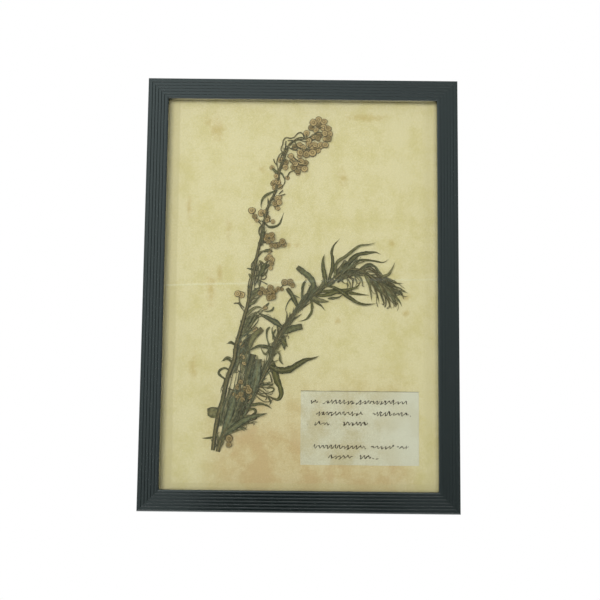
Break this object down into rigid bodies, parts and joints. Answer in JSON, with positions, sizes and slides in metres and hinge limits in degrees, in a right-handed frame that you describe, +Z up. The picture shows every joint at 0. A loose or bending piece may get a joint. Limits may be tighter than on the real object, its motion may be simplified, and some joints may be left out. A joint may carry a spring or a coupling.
{
  "type": "framed pressed plant specimen",
  "caption": "Dried flowering plant pressed flat on old paper, with a label slip that bears plain pen strokes, behind glass in a narrow black frame of reeded moulding, for hanging on a wall.",
  "frame": {"origin": "in the wall plane, at the middle notch of the saw-toothed hanger, where the nail carries the frame", "axes": "+Z up, +Y into the wall, so the glass faces -Y; +X is the viewer's right"},
  "size_m": [0.23, 0.02, 0.317],
  "materials": {
    "black_stain": "satin black stain over reeded hardwood",
    "float_glass": "polished",
    "old_paper": "matte, yellowed and foxed",
    "label_paper": "matte, greyed",
    "hardboard": "smooth pressed fibre",
    "zinc_steel": "zinc plated",
    "dry_stem": "dry, ribbed",
    "dry_leaf": "dry, creased",
    "dry_flower": "dry, bristly"
  },
  "bodies": {
    "root": {"rail_top": "black_stain", "rail_bottom": "black_stain", "rail_left": "black_stain", "rail_right": "black_stain", "glass": "float_glass", "sheet": "old_paper", "label": "label_paper", "backboard": "hardboard", "point_top": "zinc_steel", "point_bottom": "zinc_steel", "point_left_upper": "zinc_steel", "point_left_lower": "zinc_steel", "point_right_upper": "zinc_steel", "point_right_lower": "zinc_steel", "hanger": "zinc_steel", "hanger_rivet_left": "zinc_steel", "hanger_rivet_right": "zinc_steel", "flowering_stem": "dry_stem", "leafy_stem": "dry_stem", "shoot_tip": "dry_leaf", "crown_spray": "dry_flower", "crown_lower_spray": "dry_flower", "right_spray": "dry_flower", "bend_spray": "dry_flower", "left_spray": "dry_flower", "middle_spray": "dry_flower", "side_branch": "dry_flower", "low_spray": "dry_flower", "left_low_spray": "dry_flower", "lower_heads": "dry_flower", "foot_heads": "dry_flower", "leaf_tall_left": "dry_leaf", "leaf_tall_right": "dry_leaf", "leaf_arching_over": "dry_leaf", "leaf_broad_upper": "dry_leaf", "leaf_inner_right": "dry_leaf", "leaf_level_right": "dry_leaf", "leaf_falling_right": "dry_leaf", "leaf_bent_dark": "dry_leaf", "leaf_dark_stub": "dry_leaf", "leaf_broad_stub": "dry_leaf", "leaf_crossing": "dry_leaf", "leaf_long_right": "dry_leaf", "leaf_drooping": "dry_leaf", "leaf_blunt_left": "dry_leaf", "leaf_crossing_low": "dry_leaf", "leaf_pale_left": "dry_leaf", "leaf_pale_middle": "dry_leaf", "leaf_pale_right": "dry_leaf", "leaf_low_inner": "dry_leaf", "leaf_low_right": "dry_leaf", "leaf_broad_left": "dry_leaf", "leaf_looped_left": "dry_leaf", "leaf_arched_left": "dry_leaf", "leaf_dark_left": "dry_leaf", "leaf_hooked": "dry_leaf", "leaf_hanging": "dry_leaf", "leaf_dark_bract": "dry_leaf"}
  },
  "joints": []
}
